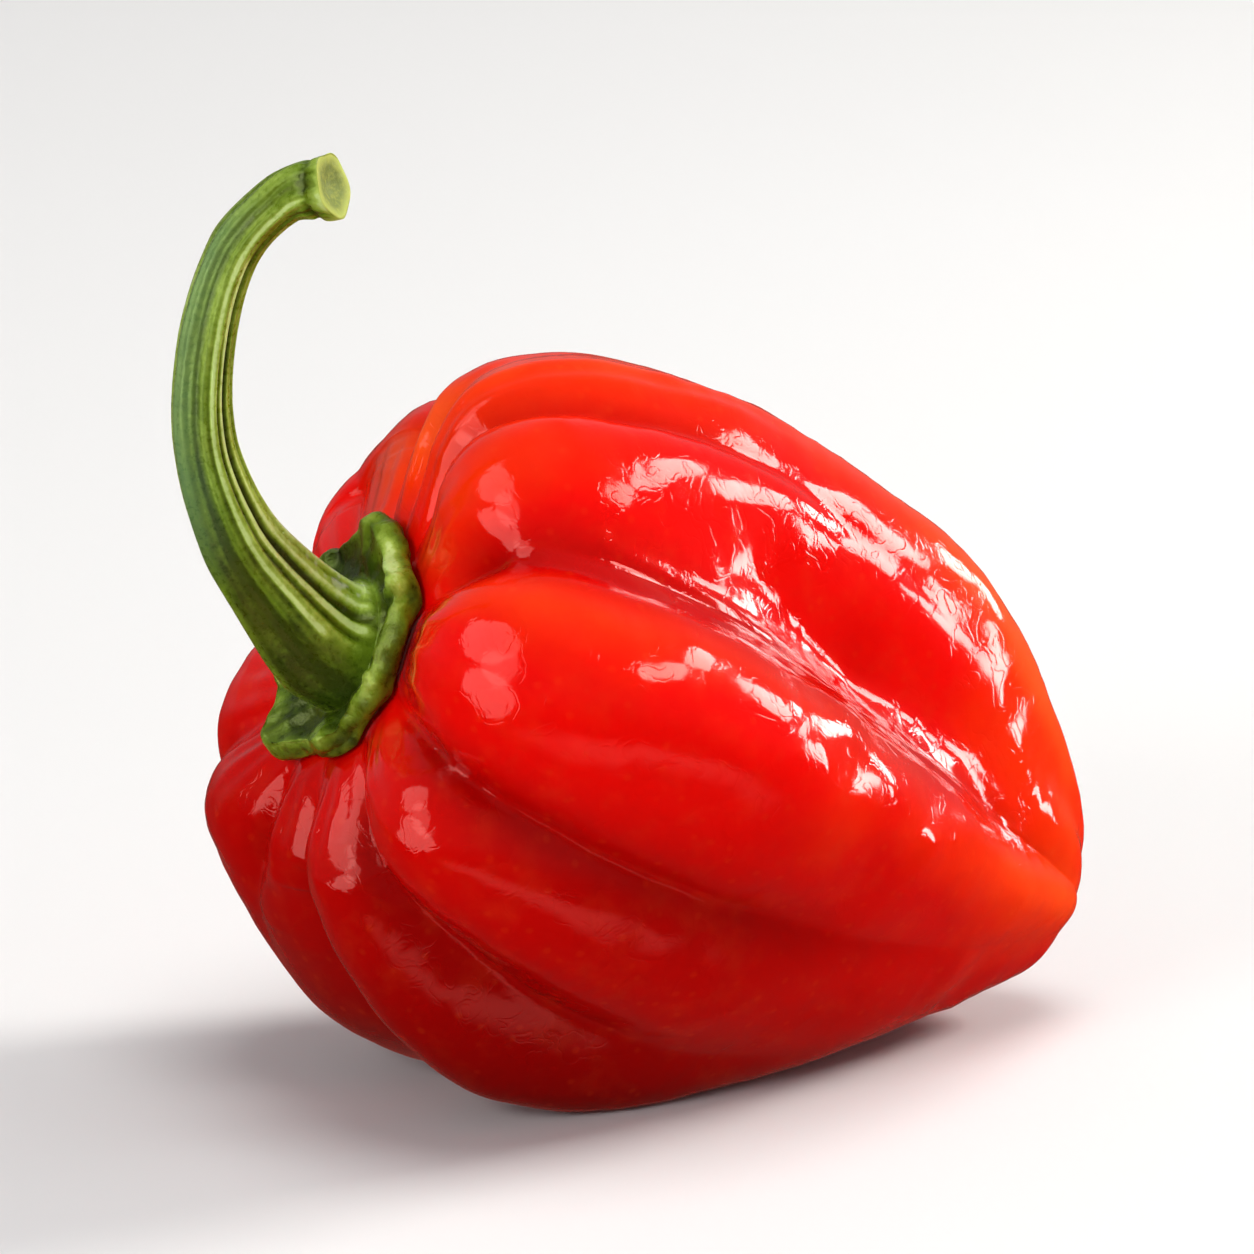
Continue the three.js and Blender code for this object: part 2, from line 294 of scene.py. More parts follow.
# Pale dry specks on the stem's foot
SPECK_PATCH = [(0.12, 72, 0.09, 18, 1.0)]    # place along the stem, angle, two radii, amount
SPECK_START = (3.0, 3.05)
SPECK_NOISE, SPECK_EDGES = (0.34, 41), (0.15, 0.5)

# ---- helpers ---------------------------------------------------------------------------------

TINY = 1e-12                             # keeps a vector of no length from dividing by 0
NOISE_CELLS = 32                         # before the noise repeats


def smooth(x, low, high):
    u = np.clip((x - low) / (high - low), 0, 1)
    return u * u * (3 - 2 * u)


def bell(x):
    return np.exp(-x * x)


def window(x, start, full, fading, end):
    """Rises from 0 to 1 between the first two numbers and falls again between the others."""
    return smooth(x, start, full) * (1 - smooth(x, fading, end))


def turn(angle, centre):
    """The shortest way from one angle to another, in degrees."""
    return (angle - centre + 180) % 360 - 180


def bells(along, angle, places):
    """Soft hills: place along, angle, radius along, radius around in degrees, height of each."""
    total = 0
    for place, centre, length, spread, height in places:
        total = total + height * bell((along - place) / length) * bell(turn(angle, centre) / spread)
    return total


def spline(points, t):
    """A uniform Catmull-Rom curve through the points, t from 0 to 1."""
    points = np.asarray(points, float)
    last = len(points) - 1
    x = np.clip(t, 0, 1) * last
    i = np.minimum(np.floor(x).astype(int), last - 1)
    w = (x - i)[..., None] if points.ndim > 1 else x - i
    before, here = points[np.maximum(i - 1, 0)], points[i]
    after, beyond = points[i + 1], points[np.minimum(i + 2, last)]
    leave, arrive = (after - before) / 2, (beyond - here) / 2
    cubic = 2 * here - 2 * after + leave + arrive
    square = -3 * here + 3 * after - 2 * leave - arrive
    return ((cubic * w + square) * w + leave) * w + here


def unit(vectors):
    return vectors / np.maximum(np.linalg.norm(vectors, axis=-1, keepdims=True), TINY)


def noise(points, cell, seed):
    """Smooth random heights from -1 to 1 over points in space."""
    table = np.random.default_rng(seed).uniform(-1, 1, (NOISE_CELLS,) * 3)
    grid = np.asarray(points) / cell
    low = np.floor(grid).astype(int)
    part = grid - low
    part = part * part * (3 - 2 * part)
    total = 0
    for corner in np.ndindex(2, 2, 2):
        index = (low + corner) % NOISE_CELLS
        weight = np.prod(np.where(corner, part, 1 - part), axis=-1)
        total = total + weight * table[index[..., 0], index[..., 1], index[..., 2]]
    return total


def clouds(points, layers):
    """Layers of noise on each other: cell size, height and seed of each."""
    return sum(height * noise(points, cell, seed) for cell, height, seed in layers)


def waves(count, angle, points, bend):
    """So many waves around an axis, bent to and fro by noise."""
    radians, cell, seed = bend
    return np.sin(np.radians(count * angle) + radians * noise(points, cell, seed))


def around_axis(rho, angle, height):
    a = np.radians(angle)
    return np.stack(np.broadcast_arrays(rho * np.sin(a), -rho * np.cos(a), height), -1)


def lay_down(points):
    """Upright millimetres to the row frame's metres."""
    lean = np.radians(TILT)
    basis = np.array([
        [np.sin(lean), 0, np.cos(lean)],
        [0, 1, 0],
        [-np.cos(lean), 0, np.sin(lean)],
    ])
    return (points @ basis + TIP) * MM


# ---- the pod's surface -----------------------------------------------------------------------

def outline_normal(along):
    step = 1e-3
    before = spline(POD_OUTLINE, np.maximum(along - step, 0))
    after = spline(POD_OUTLINE, np.minimum(along + step, 1))
    slope = after - before
    return unit(np.stack([-slope[..., 1], slope[..., 0]], -1))


def furrow_centre(furrow, along):
    shoulder, tip = furrow[:2]
    return shoulder + (tip - shoulder) * smooth(along, *FURROW_TURN)


def furrow_depths(along, angle):
    """The depth of all furrows together at each place."""
    total = 0
    for furrow in FURROWS:
        depth, width, reach = furrow[2:]
        wide = width * (1 + FURROW_GROWTH * smooth(along, *FURROW_OPEN))
        bottom = FURROW_ROUND * wide
        across = np.hypot(turn(angle, furrow_centre(furrow, along)), bottom) - bottom
        ends = smooth(along, *FURROW_START) * (1 - smooth(along, reach - FURROW_FADE, reach))
        total = total + depth * ends * np.exp(-across / wide)
    return total


def swelling_heights(along, angle, swellings):
    return bells(along, angle, swellings) * window(along, *SWELLINGS_WINDOW)


def crinkle_heights(place):
    """Fine crooked wrinkles across the pod, stronger in patches."""
    cell, distance, seed = CRINKLE_BEND
    bent = place + distance * np.stack([noise(place, cell, seed + i) for i in range(3)], -1)
    total = 0
    for cell, squeeze, height, seed in CRINKLES:
        folds = 1 - 2 * np.abs(noise(bent * [1, 1, squeeze], cell, seed))
        total = total + height * folds
    patches = smooth(noise(place, *CRINKLE_PATCHES), *CRINKLE_EDGES)
    return total * (CRINKLE_LEAST + (1 - CRINKLE_LEAST) * patches)


def line_heights(along, angle):
    """Creases at the furrows' bottoms, and the cords and wrinkles beside them."""
    total = 0
    for furrow in FURROWS:
        depth, _, reach = furrow[2:]
        line = bell(turn(angle, furrow_centre(furrow, along)) / CREASE_WIDTH)
        line = line * window(along, *CREASE_START, reach - CREASE_FADE, reach)
        total = total - CREASE_DEPTH * depth * line
    for *ends, beside, width, height in CORDS:
        centre = furrow_centre(FURROWS[0], along) + beside
        total = total + height * window(along, *ends) * bell(turn(angle, centre) / width)
    for *ends, centre, width, height in WRINKLES:
        total = total + height * window(along, *ends) * bell(turn(angle, centre) / width)
    return total


def bump_heights(place):
    total = 0
    for along, angle, radius, height in BUMPS:
        rho, level = spline(POD_OUTLINE, np.array(along))
        away = np.linalg.norm(place - around_axis(rho, angle, level), axis=-1)
        total = total + height * bell(away / radius)
    return total


def fine_relief(along, angle, place):
    """All that only the fine skin has."""
    relief = clouds(place, LUMPS)
    pleats = waves(PLEAT_COUNT, angle, place, PLEAT_BEND)
    relief = relief + PLEAT_HEIGHT * pleats * bell((along - PLEAT_PLACE) / PLEAT_LENGTH)
    relief = relief + crinkle_heights(place) + line_heights(along, angle) + bump_heights(place)
    relief = relief + swelling_heights(along, angle, SKIN_SWELLINGS)
    relief = relief * window(along, *RELIEF_WINDOW)
    return relief - SCAR_DEPTH * bell((1 - along) / SCAR_LENGTH)


def pod_points(along, angle, fine=True):
    along, angle = np.broadcast_arrays(np.asarray(along, float), np.asarray(angle, float))
    outline = spline(POD_OUTLINE, along)
    normal = outline_normal(along)
    relief = SHOULDER_SWELL * smooth(along, *FURROW_START) * (1 - smooth(along, *SHOULDER_END))
    relief = relief - furrow_depths(along, angle) + swelling_heights(along, angle, SWELLINGS)
    if fine:
        place = around_axis(outline[..., 0], angle, outline[..., 1])
        relief = relief + fine_relief(along, angle, place)
    outline = outline + normal * relief[..., None]
    return around_axis(outline[..., 0], angle, outline[..., 1])


def press_up(points):
    """Presses up what would reach below the floor, so that only the low corners touch it."""
    rows, columns = LOW_CORNERS.T
    low = lay_down(pod_points(rows / PACKED_ROWS, -360 * columns / PACKED_COLUMNS, fine=False))
    away = [np.hypot(points[..., 0] - x, points[..., 1] - y) for x, y, _ in low]
    floor = np.minimum(LOW_SLOPE * np.min(away, axis=0), LOW_RISE * MM)
    points[..., 2] = np.maximum(points[..., 2], floor)
    return points


def seat_height(rho, angle):
    """The skin's height in the hollow under the calyx."""
    rho, angle = np.broadcast_arrays(np.asarray(rho, float), np.asarray(angle, float))
    low, high = np.zeros(rho.shape), np.full(rho.shape, SEAT_END)
    for _ in range(SEAT_HALVINGS):
        middle = (low + high) / 2
        points = pod_points(middle, angle, fine=False)
        inside = np.hypot(points[..., 0], points[..., 1]) < rho
        low, high = np.where(inside, middle, low), np.where(inside, high, middle)
    return pod_points(low, angle, fine=False)[..., 2]


# ---- the stem's surface ----------------------------------------------------------------------

def rim_radius(angle):
    radius = CALYX_RADIUS
    for centre, spread, length in CALYX_TEETH:
        radius = radius + length * bell(turn(angle, centre) / spread)
    return radius


def stem_ring(along, angle, radius, offset):
    path = STEM_PATH + [0, 0, SEAT_HEIGHT + GAP]
    step = 1e-4
    before = spline(path, np.maximum(along - step, 0))
    after = spline(path, np.minimum(along + step, 1))
    tangent = unit(after - before)
    side = unit(np.array([0, 1, 0]) - tangent * tangent[..., 1:2])
    up = np.cross(side, tangent)
    a = np.radians(angle)[..., None]
    ring = up * np.sin(a) - side * np.cos(a)
    return spline(path, along) + ring * radius[..., None] + tangent * offset[..., None]


def stem_ridge(angle):
    return RIDGE_HEIGHT * np.cos(np.radians(STEM_RIDGES * angle))


def calyx_under(t, angle):
    rho = t * rim_radius(angle)
    return around_axis(rho, angle, seat_height(rho, angle) + GAP)


def calyx_edge(t, angle):
    rim = rim_radius(angle)
    thickness = RIM_THICKNESS * t * (1 + RIM_LIFT * (rim - CALYX_RADIUS))
    bulge = RIM_BULGE * np.sin(np.pi * t) - RIM_TAPER * t
    return around_axis(rim + bulge, angle, seat_height(rim, angle) + GAP + thickness)


def calyx_top(t, angle):
    one = np.ones_like(t)
    outer = calyx_edge(one, angle)
    foot = stem_skin(0 * one, angle)
    level = seat_height(TROUGH_RADIUS, angle) + GAP + TROUGH_THICKNESS
    trough = around_axis(TROUGH_RADIUS, angle, level)
    t = t[..., None]
    return outer * (1 - t) ** 2 + trough * 2 * t * (1 - t) + foot * t * t


def stem_skin(t, angle):
    along = STEM_START + (1 - STEM_START) * t
    ridges = 1 + stem_ridge(angle) * smooth(t, *RIDGE_START) * (1 - smooth(t, *RIDGE_END) / 2)
    return stem_ring(along, angle, spline(STEM_RADII, along) * ridges, 0 * t)


def stem_cut(t, angle):
    ridges = 1 + stem_ridge(angle) / 2 * (1 - t)
    radius = STEM_RADII[-1] * ridges * (1 - t)
    return stem_ring(np.ones_like(t), angle, radius, -CUT_DISH * smooth(t, 0, 1))


def stretch(x, start, end, lengths):
    """A window from start to end that rises and falls over the two lengths."""
    rise, fall = lengths
    return window(x, start, start + rise, end - fall, end)


def groove_depths(along, angle):
    total = 0
    for centre, width, depth, start, end in GROOVES:
        ends = stretch(along, start, end, GROOVE_ENDS)
        total = total + depth * ends * bell(turn(angle, centre) / width)
    return total


def vein_heights(place, angle):
    veins = sum(bell(turn(angle, centre) / VEIN_WIDTH) for centre, _, _ in CALYX_TEETH)
    return VEIN_HEIGHT * veins * window(place, *VEIN_WINDOW)


def collar(along):
    """The pinched line just behind the flared cut end."""
    return bell((along - COLLAR_PLACE) / COLLAR_LENGTH)


def stem_relief(place, angle, points):
    """What the fine skin adds to the plain stem and calyx, in millimetres."""
    along = np.clip(place - STEM_FOOT, 0, 1)
    stem = FIBRE_HEIGHT * waves(FIBRES, angle, points, FIBRE_BEND) - groove_depths(along, angle)
    stem = stem - COLLAR_DEPTH * collar(along) + clouds(points, STEM_LUMPS)
    calyx = vein_heights(place, angle) + clouds(points, CALYX_LUMPS)
    calyx = calyx + FOOT_FOLD_HEIGHT * waves(FOOT_FOLDS, angle, points, FOOT_FOLD_BEND)
    return stem * window(place, *STEM_WINDOW) + calyx * window(place, *CALYX_WINDOW)


def groove_shade_and_highlight(along, angle):
    """Painted shade in the grooves and painted highlight beside them."""
    deepest = max(depth for _, _, depth, _, _ in GROOVES)
    total = 0
    for centre, width, depth, start, end in GROOVES:
        ends = stretch(along, start, end, GROOVE_ENDS) * depth / deepest
        for beside, tone in GROOVE_SHADE_AND_HIGHLIGHT:
            total = total + tone * ends * bell(turn(angle, centre + beside * width) / width)
    return total


# The tone holds painted light and shade: lit ridges, the foot's two sides, grooves, streaks, collar
# and flared end.
def stem_tone(along, angle, points):
    tone = STEM_TONE + RIDGE_LIGHT_AND_SHADE * np.cos(np.radians(STEM_RIDGES * angle))
    tone = tone + clouds(points, STEM_CLOUDS)
    tone = tone + clouds(around_axis(DRAWN_RADIUS, angle, along * DRAWN_LENGTH), DRAWN_CLOUDS)
    for centre, width, shade, *ends in PAINTED_FOOT_LIGHT_AND_SHADE:
        tone = tone + shade * bell(turn(angle, centre) / width) * window(along, *ends)
    tone = tone + groove_shade_and_highlight(along, angle)
    for centre, width, light, start, end in HIGHLIGHT_STREAKS:
        ends = stretch(along, start, end, STREAK_ENDS)
        tone = tone + light * ends * bell(turn(angle, centre) / width)
    return tone + COLLAR_SHADE * collar(along) + CUT_EDGE_HIGHLIGHT * smooth(along, *CUT_EDGE)


def calyx_tone(place, angle, points):
    tone = CALYX_TONE + clouds(points, CALYX_CLOUDS) + bells(place, angle, CALYX_LIGHTS)
    for ring, width, shade in CALYX_RINGS:
        tone = tone + shade * bell((place - ring) / width)
    return tone + VEIN_TONE * vein_heights(place, angle)


def green_tone(place, angle, points):
    """How light the green is, from 0 to 1, over the whole calyx and stem."""
    calyx = calyx_tone(place, angle, points)
    stem = stem_tone(np.clip(place - STEM_FOOT, 0, 1), angle, points)
    share = smooth(place, *STEM_SHARE)
    return np.clip(calyx * (1 - share) + stem * share, 0, 1)


# painted reflection of the sky on the outer side of the bend
def painted_sky_sheen(place, angle):
    return bell(turn(angle, SHEEN_ANGLE) / SHEEN_WIDTH) * window(place - STEM_FOOT, *SHEEN_WINDOW)


def cork_specks(place, angle, points):
    where = bells(place - STEM_FOOT, angle, SPECK_PATCH) * smooth(place, *SPECK_START)
    return where * smooth(noise(points, *SPECK_NOISE), *SPECK_EDGES)


# ---- meshes ----------------------------------------------------------------------------------

def closed_mesh(name, rows):
    """A closed skin from rows of points around an axis; the first and last row are one point each."""
    count, columns = rows.shape[:2]
    vertices = np.vstack([rows[0, :1], rows[1:-1].reshape(-1, 3), rows[-1, :1]])
    inner = 1 + np.arange((count - 2) * columns).reshape(count - 2, columns)
    beside = np.roll(inner, -1, axis=1)
    quads = np.stack([inner[:-1], beside[:-1], beside[1:], inner[1:]], -1).reshape(-1, 4)
    last = len(vertices) - 1
    start = np.stack([np.zeros(columns, int), beside[0], inner[0]], -1)
    end = np.stack([inner[-1], beside[-1], np.full(columns, last)], -1)
    mesh = bpy.data.meshes.new(name)
    mesh.from_pydata(vertices.tolist(), [], start.tolist() + quads.tolist() + end.tolist())
    mesh.shade_smooth()
    mesh.update()
    piece = bpy.data.objects.new(name, mesh)
    bpy.context.scene.collection.objects.link(piece)
    return piece


def add_layer(piece, name, values):
    """A number for each vertex, from rows laid out as closed_mesh takes them."""
    flat = np.concatenate([values[0, :1], values[1:-1].ravel(), values[-1, :1]])
    layer = piece.data.attributes.new(name, "FLOAT", "POINT")
    layer.data.foreach_set("value", flat.astype(np.float32))


def build_pod():
    along = np.linspace(0, 1, POD_ROWS + 1)[:, None]
    angle = np.linspace(0, -360, POD_COLUMNS, endpoint=False)[None, :]
    along, angle = np.broadcast_arrays(along, angle)
    points = press_up(lay_down(pod_points(along, angle)))
    piece = closed_mesh("pod_skin_fine", points)
    # the furrows' depth, which sets the painted shade in them
    add_layer(piece, "furrow", furrow_depths(along, angle))
    # painted glow on lit crests and edges
    add_layer(piece, "painted_glow", bells(along, angle, PAINTED_GLOW_PLACES))
    return piece


def build_stem():
    angle = np.linspace(0, 360, STEM_COLUMNS, endpoint=False)[None, :]
    surfaces = (calyx_under, calyx_edge, calyx_top, stem_skin, stem_cut)
    rows, places = [], []
    for number, (count, surface) in enumerate(zip(STEM_ROWS, surfaces)):
        t = np.linspace(0, 1, count + 1)[min(number, 1):, None]
        t, a = np.broadcast_arrays(t, angle)
        rows.append(surface(t, a))
        places.append(number + t)
    points, place = np.vstack(rows), np.vstack(places)
    angle = np.broadcast_to(angle, place.shape)
    around = np.roll(points, -1, axis=1) - np.roll(points, 1, axis=1)
    outward = unit(np.cross(around, np.gradient(points, axis=0)))
    fine = points + outward * stem_relief(place, angle, points)[..., None]
    piece = closed_mesh("calyx_stem_fine", lay_down(fine))
    add_layer(piece, "place", place)
    add_layer(piece, "tone", green_tone(place, angle, points))
    add_layer(piece, "speck", cork_specks(place, angle, points))
    add_layer(piece, "painted_sheen", painted_sky_sheen(place, angle))
    return piece


# ---- materials -------------------------------------------------------------------------------

# Colours as linear red, green and blue
# painted shade: the deep red low down and in the furrows
POD_PAINTED_SHADE = (0.20, 0.0004, 0.0004)
POD_RED = (0.84, 0.0020, 0.0008)
POD_ORANGE = (0.95, 0.048, 0.002)
POD_BRIGHT = (0.95, 0.100, 0.014)
STEM_DARK = (0.022, 0.042, 0.001)
STEM_GREEN = (0.120, 0.200, 0.008)
STEM_LIGHT = (0.320, 0.450, 0.060)
STEM_PALE = (0.52, 0.66, 0.22)
STEM_OLIVE = (0.120, 0.140, 0.003)
STEM_BLUISH = (0.110, 0.230, 0.110)
CUT_RIM = (0.43, 0.47, 0.07)
CUT_PITH = (0.12, 0.15, 0.012)
CUT_FIBRE = (0.36, 0.38, 0.06)
CORK = (0.62, 0.66, 0.50)
FLOOR_DULL = (0.74, 0.735, 0.725)
FLOOR_BRIGHT = (0.77, 0.765, 0.755)

# Noise: scale, detail and, where it isn't plain, roughness
POD_CLOUD = (90, 4)
POD_MOTTLE = (420, 4, 0.6)
POD_PEEL = (1300, 3, 0.6)
STEM_GRAIN = (2600, 3, 0.6)
STEM_CLOUD = (260, 3)
FLOOR_CLOUD = (6, 3)
PORES = (700, 0.10, 0.22)                # scale, distance where a spot is full and where it ends
CREASE_NET = (620, 1.0, 0.5, 1.2)        # scale, detail, roughness, distortion
CREASE_EDGE = 0.05                       # distance from the noise's middle where a line ends
NOISE_MIDDLE = 0.5

# Ranges: from low, from high and, where they aren't 0 and 1, to low, to high. Single numbers
# are shares.
POD_UPWARD = (0.35, 0, 1)                # the way up, along which painted shade turns the skin from deep red to red
PAINTED_SHADE_HEIGHTS = (-3, 22)                    # painted shade, deep red low down to red higher up; millimetres along it
# painted shade: less orange low down
PAINTED_SHADE_WARMTH = (2, 24, -0.35, 0.0)
CLOUD_WARMTH = (0.30, 0.75, -0.32, 0.16)
WARMTH_ORANGE = (0, 1)
WARMTH_BRIGHT = (0.6, 1.4)
# painted shade in the furrows
FURROW_PAINTED_SHADE = (1.2, 3.4, 0, 0.6)
MOTTLE_BRIGHT = (0.5, 0.75, 0, 0.06)
PORE_BRIGHT = 0.06
MOTTLE_ROUGHNESS = (0.3, 0.7, 0.06, 0.12)
PORE_HEIGHT = 0.4
POD_BUMP = (0.25, 0.020 * MM)            # strength, distance

GRAIN_TONE = (0.3, 0.7, -0.10, 0.10)
TONE_GREEN = (0.05, 0.45)
TONE_LIGHT = (0.45, 0.80)
TONE_PALE = (0.80, 1.00)
CLOUD_OLIVE = (0.45, 0.75, 0, 0.35)
SHEEN_BLUISH = (0, 1, 0, 0.6)
SPECK_CORK = 0.8
PLACE_CUT = (3.985, 4.03)                # places on the green surface, from the stem to the cut
PLACE_PITH = (4.02, 4.40)
GRAIN_FIBRE = (0.45, 0.7, 0, 0.7)
GRAIN_ROUGHNESS = (0.3, 0.7, 0.22, 0.42)
PLACE_ROUGHNESS = (3.97, 4.02, 0.0, 0.3)
STEM_BUMP = (0.6, 0.10 * MM)

# What is the same all over a surface
POD_SURFACE = {
    "IOR": 1.38,
    "Specular Tint": (1.0, 0.42, 0.36, 1),
    "Subsurface Weight": 0.10,
    "Subsurface Radius": (1.0, 0.10, 0.04),
    "Subsurface Scale": 1.2 * MM,
}
STEM_SURFACE = {
    "IOR": 1.36,
    "Specular Tint": (0.85, 1.0, 0.45, 1),
    "Subsurface Weight": 0.06,
    "Subsurface Radius": (0.4, 0.6, 0.1),
    "Subsurface Scale": 0.5 * MM,
}
FLOOR_SURFACE = {"Roughness": 0.9, "Specular IOR Level": 0.1}


def start_material(name, surface):
    material = bpy.data.materials.new(name)
    material.use_nodes = True
    nodes = material.node_tree.nodes
    shader = nodes["Principled BSDF"]
    set_sockets(shader, surface)
    return material, nodes, material.node_tree.links, shader


def set_sockets(node, values):
    for name, value in values.items():
        node.inputs[name].default_value = value


def add_noise(nodes, links, coordinates, scale, detail, roughness=0.5, distortion=0.0):
    node = nodes.new("ShaderNodeTexNoise")
    set_sockets(node, {"Scale": scale, "Detail": detail, "Roughness": roughness,
                       "Distortion": distortion})
    links.new(coordinates, node.inputs["Vector"])
    return node.outputs["Fac"]


def add_range(nodes, links, value, low, high, to_low=0.0, to_high=1.0):
    node = nodes.new("ShaderNodeMapRange")
    set_sockets(node, {"From Min": low, "From Max": high, "To Min": to_low, "To Max": to_high})
    links.new(value, node.inputs["Value"])
    return node.outputs["Result"]


COLOUR_A, COLOUR_RESULT = 6, 2           # a Mix node's first colour in, and its colour out


def add_mix(nodes, links, factor, first, second):
    """Two colours, each from a socket or as numbers, mixed by a factor."""
    node = nodes.new("ShaderNodeMix")
    node.data_type = "RGBA"
    links.new(factor, node.inputs["Factor"])
    for socket, value in zip(node.inputs[COLOUR_A:], (first, second)):
        if isinstance(value, bpy.types.NodeSocket):
            links.new(value, socket)
        else:
            socket.default_value = (*value, 1)
    return node.outputs[COLOUR_RESULT]


def add_math(nodes, links, operation, *values):
    """One operation on values that are sockets or numbers."""
    node = nodes.new("ShaderNodeMath")
    node.operation = operation
    for socket, value in zip(node.inputs, values):
        if isinstance(value, bpy.types.NodeSocket):
            links.new(value, socket)
        else:
            socket.default_value = value
    return node.outputs[0]


def add_attribute(nodes, name):
    node = nodes.new("ShaderNodeAttribute")
    node.attribute_name = name
    return node.outputs["Fac"]


def add_bump(nodes, links, shader, height, strength, distance):
    node = nodes.new("ShaderNodeBump")
    set_sockets(node, {"Strength": strength, "Distance": distance})
    links.new(height, node.inputs["Height"])
    links.new(node.outputs["Normal"], shader.inputs["Normal"])


def add_height(nodes, links, coordinates, direction):
    """How far a place lies along a direction, in millimetres."""
    node = nodes.new("ShaderNodeVectorMath")
    node.operation = "DOT_PRODUCT"
    node.inputs[1].default_value = Vector(direction).normalized() / MM
    links.new(coordinates, node.inputs[0])
    return node.outputs["Value"]


def add_spots(nodes, links, coordinates, scale, near, far):
    """Round spots, 1 at their middle."""
    node = nodes.new("ShaderNodeTexVoronoi")
    set_sockets(node, {"Scale": scale})
    links.new(coordinates, node.inputs["Vector"])
    return add_range(nodes, links, node.outputs["Distance"], near, far, 1.0, 0.0)


def add_creases(nodes, links, coordinates):
    """A net of crooked fine lines, 0 in them and 1 between."""
    net = add_noise(nodes, links, coordinates, *CREASE_NET)
    away = add_math(nodes, links, "SUBTRACT", net, NOISE_MIDDLE)
    away = add_math(nodes, links, "ABSOLUTE", away)
    return add_range(nodes, links, away, 0.0, CREASE_EDGE)


def pod_colour(nodes, links, place, mottle, pores):
    """Deep red painted shade below and in the furrows, red above, orange in clouds and as a painted
    glow on lit crests, with bright mottle and specks.
    """
    height = add_height(nodes, links, place, POD_UPWARD)
    cloud = add_noise(nodes, links, place, *POD_CLOUD)
    # orange from random clouds and from the painted glow on lit crests
    warmth_and_glow = add_math(nodes, links, "ADD", add_attribute(nodes, "painted_glow"),
                      add_range(nodes, links, cloud, *CLOUD_WARMTH))
    warmth_and_glow = add_math(nodes, links, "ADD", warmth_and_glow, add_range(nodes, links, height, *PAINTED_SHADE_WARMTH))
    colour = add_mix(nodes, links, add_range(nodes, links, height, *PAINTED_SHADE_HEIGHTS), POD_PAINTED_SHADE, POD_RED)
    layers = [
        (add_range(nodes, links, warmth_and_glow, *WARMTH_ORANGE), POD_ORANGE),
        (add_range(nodes, links, warmth_and_glow, *WARMTH_BRIGHT), POD_BRIGHT),
        (add_range(nodes, links, add_attribute(nodes, "furrow"), *FURROW_PAINTED_SHADE), POD_PAINTED_SHADE),
        (add_range(nodes, links, mottle, *MOTTLE_BRIGHT), POD_BRIGHT),
        (add_math(nodes, links, "MULTIPLY", pores, PORE_BRIGHT), POD_BRIGHT),
    ]
    for share, layer in layers:
        colour = add_mix(nodes, links, share, colour, layer)
    return colour


def pod_material():
    material, nodes, links, shader = start_material("pod_skin", POD_SURFACE)
    place = nodes.new("ShaderNodeTexCoord").outputs["Object"]
    mottle = add_noise(nodes, links, place, *POD_MOTTLE)
    pores = add_spots(nodes, links, place, *PORES)
    links.new(pod_colour(nodes, links, place, mottle, pores), shader.inputs["Base Color"])
    links.new(add_range(nodes, links, mottle, *MOTTLE_ROUGHNESS), shader.inputs["Roughness"])
    peel = add_math(nodes, links, "ADD", add_noise(nodes, links, place, *POD_PEEL),
                    add_math(nodes, links, "MULTIPLY", pores, PORE_HEIGHT))
    peel = add_math(nodes, links, "ADD", peel, add_creases(nodes, links, place))
    add_bump(nodes, links, shader, peel, *POD_BUMP)
    return material


def green_colour(nodes, links, place, grain):
    """The green by its tone, with olive clouds and a painted bluish sky reflection on the bend."""
    cloud = add_noise(nodes, links, place, *STEM_CLOUD)
    tone = add_math(nodes, links, "ADD", add_attribute(nodes, "tone"),
                    add_range(nodes, links, grain, *GRAIN_TONE))
    colour = add_mix(nodes, links, add_range(nodes, links, tone, *TONE_GREEN), STEM_DARK, STEM_GREEN)
    layers = [
        (add_range(nodes, links, tone, *TONE_LIGHT), STEM_LIGHT),
        (add_range(nodes, links, tone, *TONE_PALE), STEM_PALE),
        (add_range(nodes, links, cloud, *CLOUD_OLIVE), STEM_OLIVE),
        (add_range(nodes, links, add_attribute(nodes, "painted_sheen"), *SHEEN_BLUISH), STEM_BLUISH),
    ]
    for share, layer in layers:
        colour = add_mix(nodes, links, share, colour, layer)
    return colour


def cut_colour(nodes, links, part, grain):
    """A pale rim round the darker pith, with pale fibres in both."""
    cut = add_mix(nodes, links, add_range(nodes, links, part, *PLACE_PITH), CUT_RIM, CUT_PITH)
    return add_mix(nodes, links, add_range(nodes, links, grain, *GRAIN_FIBRE), cut, CUT_FIBRE)


def stem_material():
    material, nodes, links, shader = start_material("stem_green", STEM_SURFACE)
    place = nodes.new("ShaderNodeTexCoord").outputs["Object"]
    part = add_attribute(nodes, "place")
    grain = add_noise(nodes, links, place, *STEM_GRAIN)
    green = green_colour(nodes, links, place, grain)
    cut = cut_colour(nodes, links, part, grain)
    colour = add_mix(nodes, links, add_range(nodes, links, part, *PLACE_CUT), green, cut)
    specks = add_math(nodes, links, "MULTIPLY", add_attribute(nodes, "speck"), SPECK_CORK)
    links.new(add_mix(nodes, links, specks, colour, CORK), shader.inputs["Base Color"])
    dry = add_range(nodes, links, part, *PLACE_ROUGHNESS)
    rough = add_math(nodes, links, "ADD", dry, add_range(nodes, links, grain, *GRAIN_ROUGHNESS))
    links.new(rough, shader.inputs["Roughness"])
    add_bump(nodes, links, shader, grain, *STEM_BUMP)
    return material


